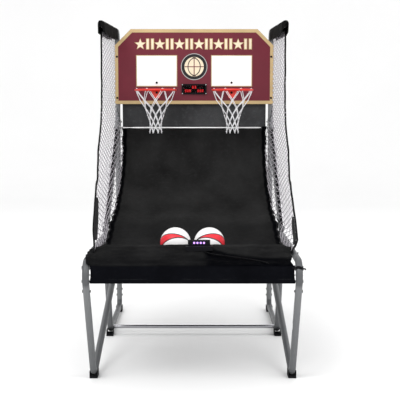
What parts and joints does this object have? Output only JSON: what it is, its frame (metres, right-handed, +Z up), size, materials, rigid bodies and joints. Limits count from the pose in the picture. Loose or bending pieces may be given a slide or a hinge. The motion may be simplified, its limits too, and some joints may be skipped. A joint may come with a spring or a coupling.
{
  "type": "basketball hoop machine",
  "caption": "Folding home basketball game with paired hoops on a backboard, fabric ball-return ramp and tray, side nets, score display and control pod on a tubular steel frame.",
  "frame": {"origin": "on the floor, at the middle of the game's width and depth", "axes": "+Z up, +Y from the player to the backboard, +X to the player's right"},
  "size_m": [1.1776, 2.062, 2.1028],
  "materials": {
    "tube_steel": "silver-grey powder coat, satin",
    "zinc_steel": "bright zinc, satin",
    "dark_chrome": "bright plated",
    "black_steel": "black oxide",
    "black_plastic": "fine moulded grain",
    "black_fabric": "woven nylon",
    "white_net": "knotted cord",
    "board_print": "printed board, satin lacquer",
    "red_steel": "gloss red powder coat",
    "circuit": "green solder mask",
    "red_led": "lit red segments",
    "smoked_window": "smoked red acrylic",
    "button_glow": "lit violet caps",
    "ball_skin": "pebbled rubber, white and red panels"
  },
  "bodies": {
    "rear_frame": {"arm_caps": "black_plastic", "arm_sleeves": "black_fabric", "arms": "tube_steel", "backboard": "board_print", "backboard_bolts": "black_steel", "backboard_spacers": "zinc_steel", "base_frame_left": "tube_steel", "base_frame_right": "tube_steel", "battery_holder": "black_plastic", "control_board": "circuit", "electronics_case": "black_plastic", "electronics_cover": "black_plastic", "foot_caps_rear": "black_plastic", "hoop_left": "red_steel", "hoop_nets": "white_net", "hoop_right": "red_steel", "hoop_sensors": "black_plastic", "incline_rail_left": "tube_steel", "incline_rail_right": "tube_steel", "lower_crossbar": "dark_chrome", "lower_uprights": "tube_steel", "pivot_bolts": "black_steel", "pivot_plates": "zinc_steel", "ramp_fabric": "black_fabric", "rear_frame_bolts": "black_steel", "saddle_clips": "black_plastic", "score_board": "circuit", "score_digits": "red_led", "score_housing": "black_plastic", "score_screws": "zinc_steel", "score_window": "smoked_window", "shoulder_plates": "zinc_steel", "side_nets": "white_net", "speaker": "black_plastic", "upper_crossbar": "zinc_steel", "upper_uprights": "tube_steel", "upright_joiners": "zinc_steel"},
    "front_frame": {"side_rail_left": "tube_steel", "side_rail_right": "tube_steel", "leg_left": "tube_steel", "leg_right": "tube_steel", "leg_joiners": "zinc_steel", "front_frame_bolts": "black_steel", "front_bar": "tube_steel", "skirt_bar": "tube_steel", "lip_bar": "tube_steel", "foot_caps_front": "black_plastic", "tray_fabric": "black_fabric", "front_skirt": "black_fabric", "pod_base": "black_plastic", "pod_cover": "black_plastic", "pod_board": "circuit", "pod_cable": "black_plastic"},
    "ball_left": {"ball_left": "ball_skin"},
    "ball_right": {"ball_right": "ball_skin"},
    "power_rocker": {"power_rocker": "black_plastic"},
    "pod_button_1": {"pod_button_1": "button_glow"},
    "pod_button_2": {"pod_button_2": "button_glow"},
    "pod_button_3": {"pod_button_3": "button_glow"},
    "pod_button_4": {"pod_button_4": "button_glow"}
  },
  "joints": [
    {"name": "front_fold", "type": "hinge", "parent": "rear_frame", "child": "front_frame", "pos_m": [0, 0.005, 0.72], "axis": [-1, 0, 0], "range_deg": [0, 98], "deforming": ["side_nets"]},
    {"name": "left_ball_roll", "type": "hinge", "parent": "front_frame", "child": "ball_left", "pos_m": [-0.102, -0.521, 0.752], "axis": [1, 0, 0], "continuous": true},
    {"name": "right_ball_roll", "type": "hinge", "parent": "front_frame", "child": "ball_right", "pos_m": [0.095, -0.521, 0.752], "axis": [1, 0, 0], "continuous": true},
    {"name": "power_switch", "type": "hinge", "parent": "rear_frame", "child": "power_rocker", "pos_m": [0.08, 1.02555, 1.69], "axis": [-1, 0, 0], "range_deg": [0, 16]},
    {"name": "button_1_press", "type": "slide", "parent": "front_frame", "child": "pod_button_1", "axis": [0, 1, 0], "range_m": [0, 0.0015]},
    {"name": "button_2_press", "type": "slide", "parent": "front_frame", "child": "pod_button_2", "axis": [0, 1, 0], "range_m": [0, 0.0015]},
    {"name": "button_3_press", "type": "slide", "parent": "front_frame", "child": "pod_button_3", "axis": [0, 1, 0], "range_m": [0, 0.0015]},
    {"name": "button_4_press", "type": "slide", "parent": "front_frame", "child": "pod_button_4", "axis": [0, 1, 0], "range_m": [0, 0.0015]}
  ]
}
